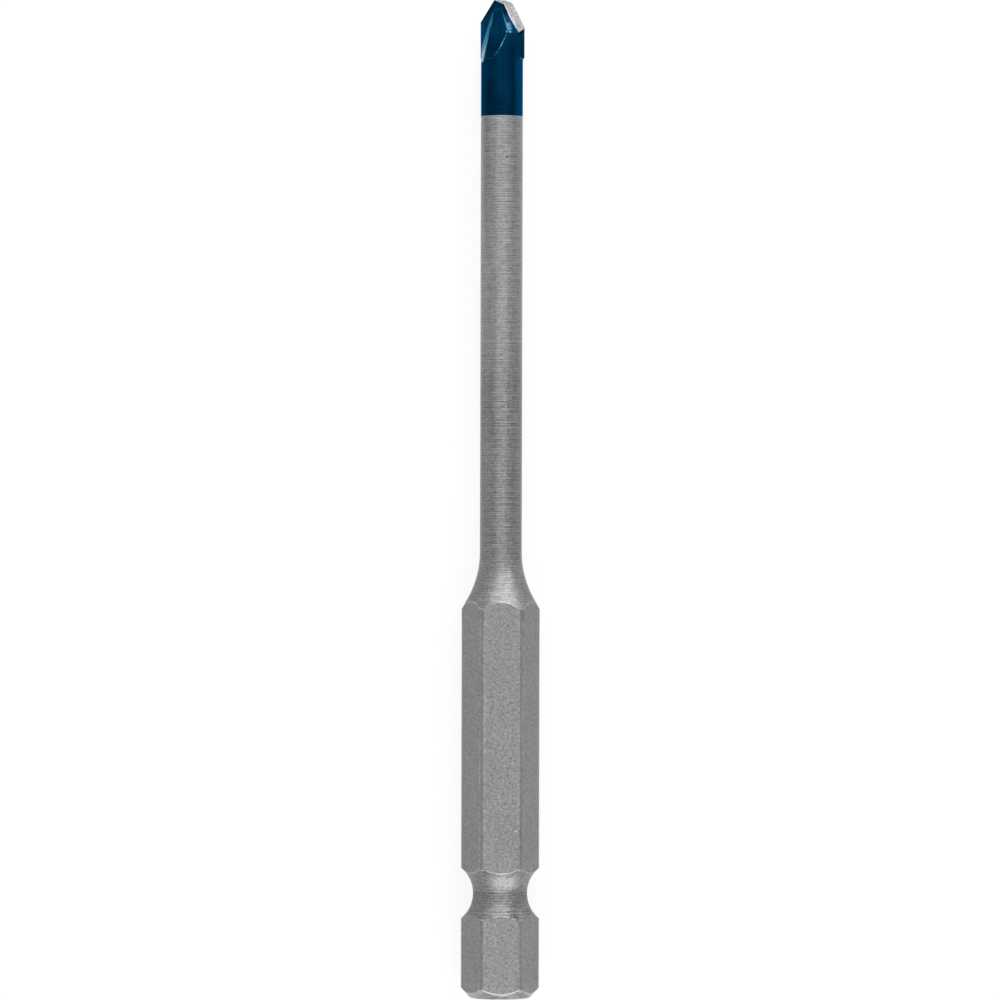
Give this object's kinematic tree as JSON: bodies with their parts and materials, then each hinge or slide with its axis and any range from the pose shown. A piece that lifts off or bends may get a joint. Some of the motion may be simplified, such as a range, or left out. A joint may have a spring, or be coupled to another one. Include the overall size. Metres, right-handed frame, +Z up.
{
  "type": "glass and tile drill bit",
  "caption": "Slim drill bit for glass and tile: hexagonal quick-change shank with a ball groove, round shaft, and a lacquered nose with a brazed spear-shaped carbide plate.",
  "frame": {"origin": "below the middle of the bit's length and width, on the surface that it lies on", "axes": "+Y along the bit's axis towards its point, +Z up from the hexagon flat that it lies on"},
  "size_m": [0.007, 0.09, 0.0063],
  "materials": {
    "steel": "fine turned and blasted bare steel, with blue lacquer on the nose",
    "carbide": "blue lacquer, ground bare on the long lip's flank",
    "braze": "filler metal under lacquer"
  },
  "bodies": {
    "root": {"shank": "steel", "carbide_plate": "carbide", "braze_film": "braze"}
  },
  "joints": []
}
